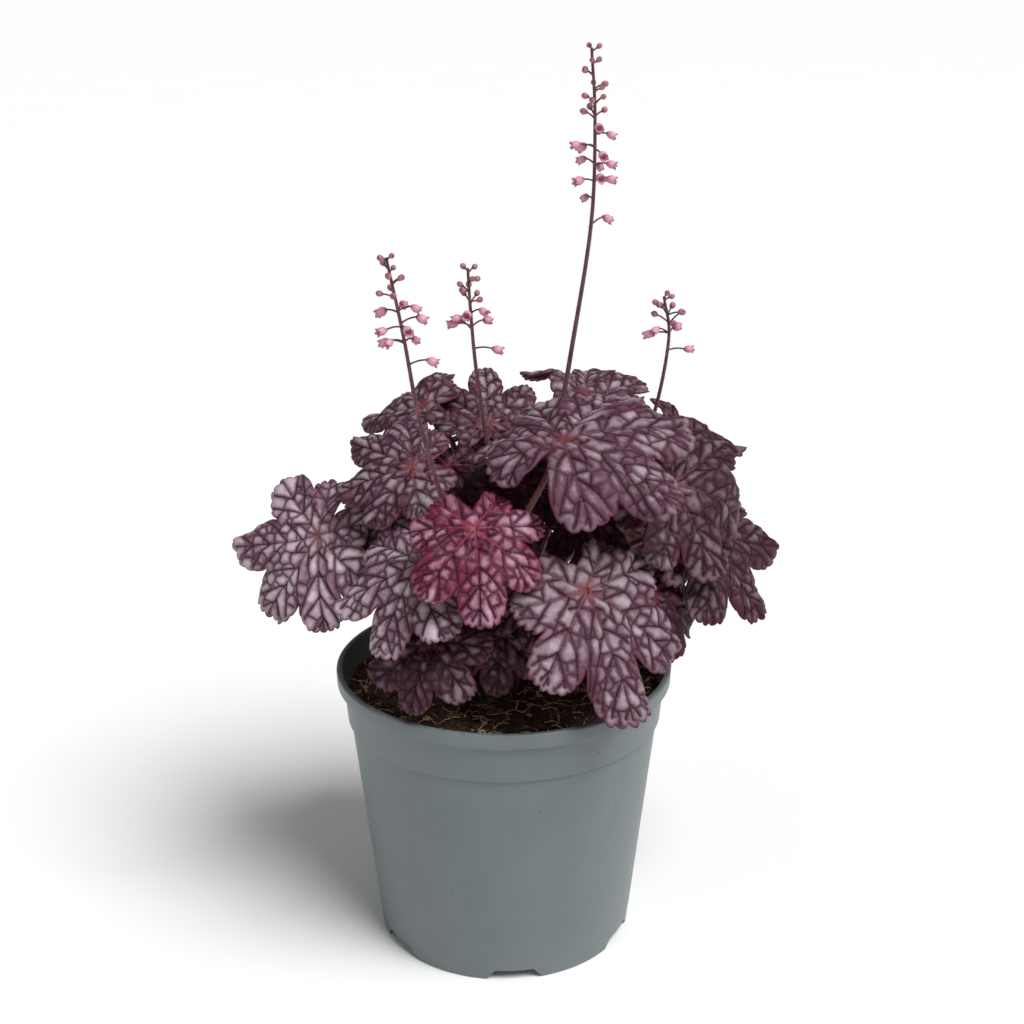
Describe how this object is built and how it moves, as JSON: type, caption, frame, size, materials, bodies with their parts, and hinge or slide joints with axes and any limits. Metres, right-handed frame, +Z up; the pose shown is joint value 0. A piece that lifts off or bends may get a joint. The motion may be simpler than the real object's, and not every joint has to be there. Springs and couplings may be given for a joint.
{
  "type": "heuchera plant",
  "caption": "Potted heuchera: a mound of lobed silvery purple leaves with dark veins and slender stems of small pink florets, growing in a round grey nursery pot.",
  "frame": {"origin": "on the pot's axis, at the plane of its foot", "axes": "+Z up along the pot's axis; +X to the right and -Y towards the viewer of the pictured side"},
  "size_m": [0.2782, 0.197, 0.4471],
  "materials": {
    "pot": "satin moulded plastic, slate grey",
    "soil": "coarse dark peat with bark and fibres",
    "leaf": "silvery mauve blade with dark netted veins, wine margin and burgundy underside",
    "leaf_young": "pinker young blade with dark netted veins",
    "flower_stem": "dark red-brown stem with fine hairs and pink florets"
  },
  "bodies": {
    "root": {"pot": "pot", "potting_soil": "soil", "leaf_left_inner": "leaf", "leaf_top_inner": "leaf_young", "leaf_heart": "leaf_young", "leaf_front_low": "leaf", "leaf_front_inner": "leaf", "leaf_right_low": "leaf", "leaf_back_left_low": "leaf", "leaf_back_low": "leaf", "leaf_back_right_low": "leaf", "leaf_right_far": "leaf", "leaf_left_far": "leaf", "leaf_front_left_low": "leaf", "leaf_back_left": "leaf", "leaf_back": "leaf", "leaf_back_right": "leaf", "leaf_dark_inner": "leaf_young", "leaf_left_front": "leaf", "leaf_top_left": "leaf", "leaf_top_right": "leaf", "leaf_right_upper": "leaf", "leaf_left_upper": "leaf", "leaf_front_right": "leaf", "leaf_right": "leaf", "leaf_top": "leaf", "leaf_front": "leaf_young", "leaf_crest": "leaf", "flower_stem_left": "flower_stem", "flower_stem_middle": "flower_stem", "flower_stem_tall": "flower_stem", "flower_stem_right": "flower_stem"}
  },
  "joints": []
}
